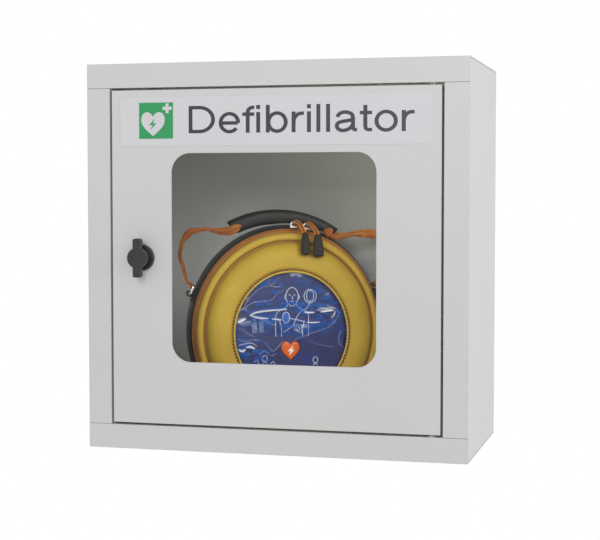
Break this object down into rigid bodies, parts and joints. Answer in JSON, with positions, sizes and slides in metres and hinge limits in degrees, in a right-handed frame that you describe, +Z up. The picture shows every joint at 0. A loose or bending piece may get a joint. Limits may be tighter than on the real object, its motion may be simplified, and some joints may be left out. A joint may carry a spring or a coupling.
{
  "type": "defibrillator",
  "caption": "Portable defibrillator in a zipped carry case, kept in a steel wall cabinet with a hinged window door.",
  "frame": {"origin": "centre of the cabinet's back face, on the wall", "axes": "+X to the right seen from the front, +Y into the wall, +Z up"},
  "size_m": [0.4, 0.2165, 0.4],
  "materials": {
    "cabinet_coat": "light grey powder coat, fine texture",
    "zinc_steel": "bright zinc plate",
    "black_plastic": "moulded, satin",
    "black_rubber": "moulded, matt",
    "label_film": "printed film, satin",
    "clear_pane": "clear acrylic sheet, polished",
    "case_yellow": "moulded shell faced with smooth yellow cloth",
    "case_black": "moulded shell faced with black cloth",
    "case_foam": "closed-cell foam, matt",
    "zip_tape": "woven tape with coil teeth",
    "clear_film": "soft clear film, glossy and creased",
    "orange_webbing": "woven webbing",
    "grip_cover": "stitched black grip cover",
    "zip_metal": "nickel plate",
    "aed_shell": "moulded, fine spark texture",
    "aed_overlay": "printed membrane, satin",
    "shock_orange": "translucent, gloss",
    "power_green": "gloss",
    "lens_green": "gloss",
    "board_green": "solder resist",
    "sleeve_blue": "shrink sleeve",
    "copper_winding": "enamelled copper winding",
    "speaker_black": "satin",
    "tray_white": "moulded, satin",
    "foil_packet": "foil-faced paper pouch",
    "tab_green": "satin"
  },
  "bodies": {
    "housing": {"top_panel": "cabinet_coat", "bottom_panel": "cabinet_coat", "left_side_panel": "cabinet_coat", "right_side_panel": "cabinet_coat", "back_panel": "cabinet_coat", "hinge_bush_top": "black_plastic", "hinge_bush_bottom": "black_plastic", "door_buffer_upper": "black_rubber", "door_buffer_lower": "black_rubber", "case_back_shell": "case_black", "case_front_shell": "case_yellow", "case_zip": "zip_tape", "case_window_piping": "case_yellow", "case_window_film": "clear_film", "case_foam_insert": "case_foam", "strap_anchor_left": "case_black", "strap_anchor_right": "case_black", "aed_front_housing": "aed_shell", "aed_rear_housing": "aed_shell", "aed_seal": "black_rubber", "aed_face_overlay": "aed_overlay", "aed_status_lens": "lens_green", "aed_screw_1": "zinc_steel", "aed_screw_2": "zinc_steel", "aed_screw_3": "zinc_steel", "aed_screw_4": "zinc_steel", "aed_circuit_board": "board_green", "aed_capacitor": "sleeve_blue", "aed_inductor": "copper_winding", "aed_speaker": "speaker_black", "aed_cartridge_tray": "tray_white", "aed_battery_cell_left": "sleeve_blue", "aed_battery_cell_right": "sleeve_blue", "aed_pads_packet": "foil_packet", "aed_pads_tab": "tab_green"},
    "door": {"door_panel": "cabinet_coat", "door_label": "label_film", "window_pane": "clear_pane", "window_tape": "black_rubber", "hinge_pin_top": "zinc_steel", "hinge_pin_bottom": "zinc_steel", "lock_rosette": "black_plastic", "lock_nut": "zinc_steel"},
    "latch": {"knob": "black_plastic", "lock_spindle": "zinc_steel", "lock_cam": "zinc_steel", "cam_screw": "zinc_steel"},
    "handle": {"strap_ring_left": "zip_metal", "strap_ring_right": "zip_metal", "carry_strap": "orange_webbing", "handle_grip": "grip_cover"},
    "slider_left": {"zip_slider_left": "zip_metal"},
    "slider_right": {"zip_slider_right": "zip_metal"},
    "pull_left": {"zip_cord_left": "orange_webbing", "zip_pull_end_left": "black_rubber"},
    "pull_right": {"zip_cord_right": "orange_webbing", "zip_pull_end_right": "black_rubber"},
    "shock_button": {"aed_shock_button": "shock_orange"},
    "power_button": {"aed_power_button": "power_green"}
  },
  "joints": [
    {"name": "door_hinge", "type": "hinge", "parent": "housing", "child": "door", "pos_m": [0.1635, -0.1935, 0], "axis": [0, 0, 1], "range_deg": [0, 110]},
    {"name": "knob_turn", "type": "hinge", "parent": "door", "child": "latch", "pos_m": [-0.14, -0.2, 0], "axis": [0, 1, 0], "range_deg": [0, 90]},
    {"name": "handle_swing", "type": "hinge", "parent": "housing", "child": "handle", "pos_m": [-0.02048, -0.07777, -0.04208], "axis": [0.8988, 0.4384, 0], "range_deg": [-15, 0]},
    {"name": "zip_left_run", "type": "hinge", "parent": "housing", "child": "slider_left", "pos_m": [-0.015, -0.089, -0.0739], "axis": [-0.4384, 0.8988, 0], "range_deg": [-60, 0]},
    {"name": "zip_right_run", "type": "hinge", "parent": "housing", "child": "slider_right", "pos_m": [-0.015, -0.089, -0.0739], "axis": [-0.4384, 0.8988, 0], "range_deg": [0, 60]},
    {"name": "pull_left_lift", "type": "hinge", "parent": "slider_left", "child": "pull_left", "pos_m": [-0.00698, -0.08731, 0.03441], "axis": [-0.8964, -0.4372, 0.0732], "range_deg": [0, 70]},
    {"name": "pull_right_lift", "type": "hinge", "parent": "slider_right", "child": "pull_right", "pos_m": [0.00567, -0.08114, 0.03244], "axis": [-0.8801, -0.4293, 0.2028], "range_deg": [0, 70]},
    {"name": "shock_button_press", "type": "slide", "parent": "housing", "child": "shock_button", "axis": [-0.4384, 0.8988, 0], "range_m": [0, 0.0012]},
    {"name": "power_button_press", "type": "slide", "parent": "housing", "child": "power_button", "axis": [-0.4384, 0.8988, 0], "range_m": [0, 0.0012]}
  ]
}
